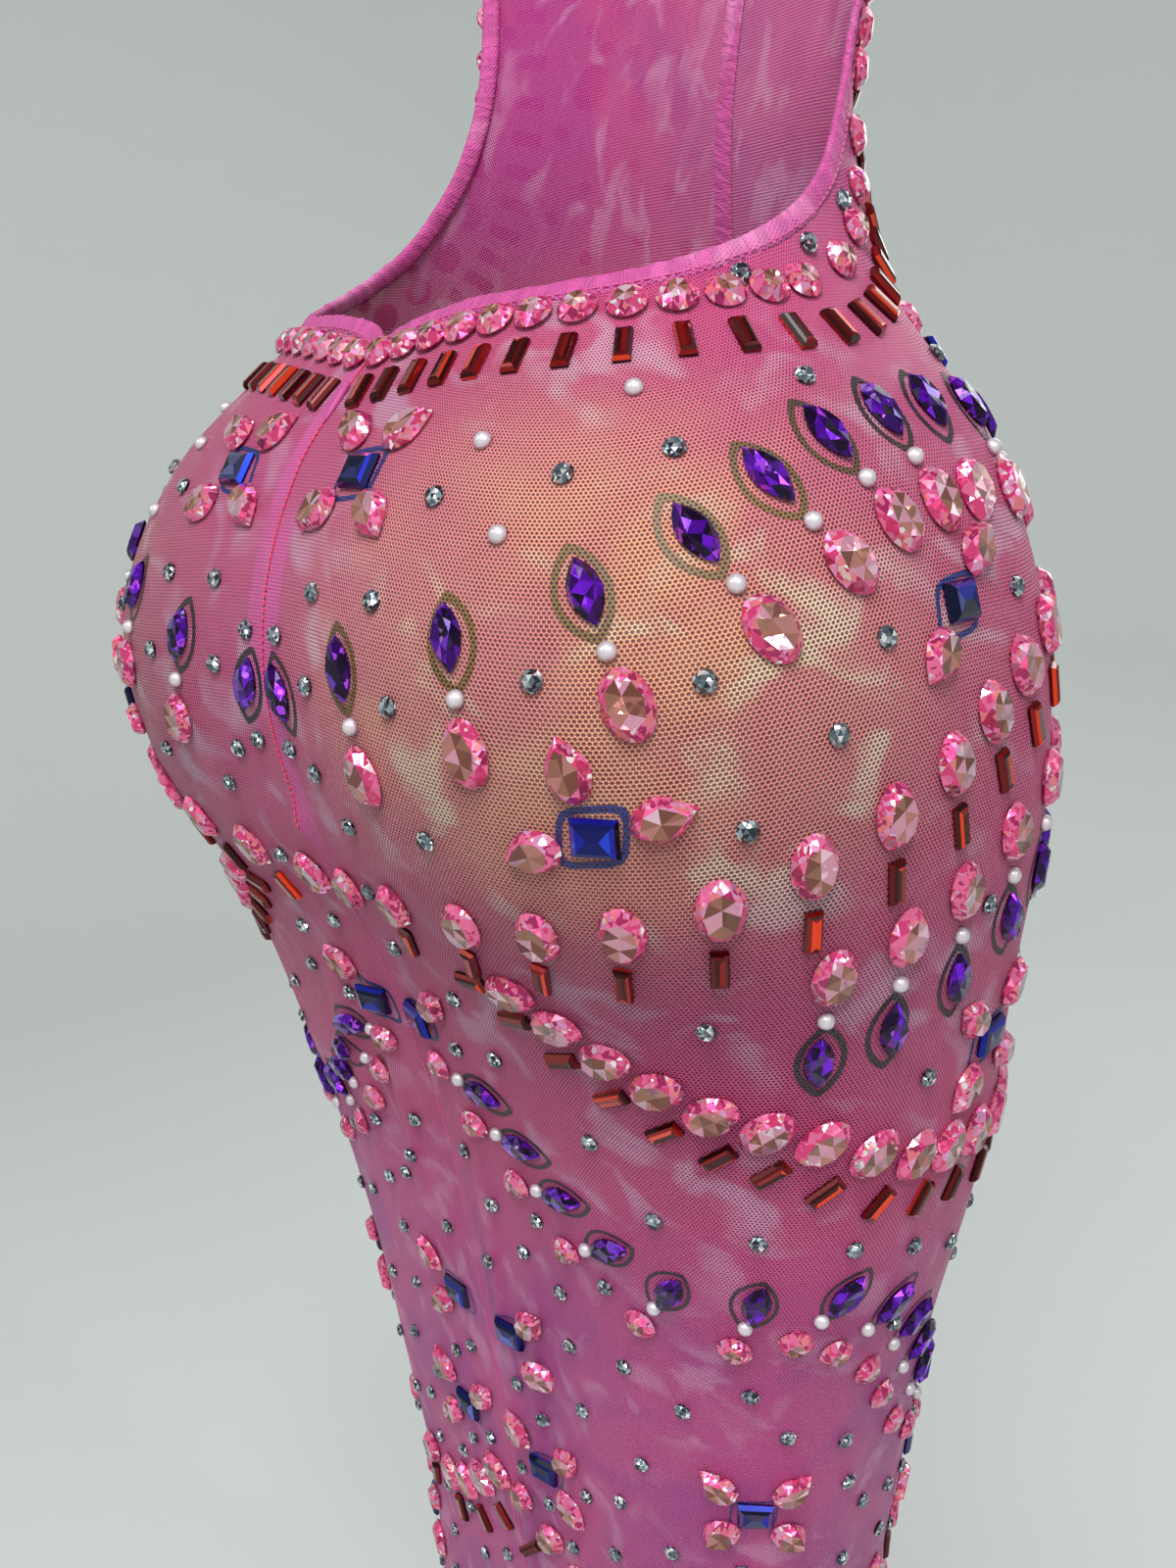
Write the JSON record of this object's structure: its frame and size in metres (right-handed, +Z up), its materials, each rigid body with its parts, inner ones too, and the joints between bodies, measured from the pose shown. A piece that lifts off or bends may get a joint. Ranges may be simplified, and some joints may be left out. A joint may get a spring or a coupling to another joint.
{
  "type": "maxi dress",
  "caption": "Halter-neck, backless maxi dress of stretch mesh with rows of large glass stones, in its worn hollow form, held up at the neck band.",
  "frame": {"origin": "centre of the neck band, where the wearer's neck holds the dress up", "axes": "+Z up, front towards -Y, the wearer's right towards -X"},
  "size_m": [0.3422, 0.2623, 1.3874],
  "materials": {
    "panel_right": "pink stretch mesh with raised glass stones",
    "panel_left": "pink stretch mesh with raised glass stones",
    "edge_hem_right": "turned hem of the mesh, stitched",
    "edge_hem_left": "turned hem of the mesh, stitched",
    "neck_band": "plain doubled band of the mesh",
    "bottom_hem": "turned hem of the mesh"
  },
  "bodies": {
    "root": {"panel_right": "panel_right", "panel_left": "panel_left", "edge_hem_right": "edge_hem_right", "edge_hem_left": "edge_hem_left", "neck_band": "neck_band", "bottom_hem": "bottom_hem"}
  },
  "joints": []
}
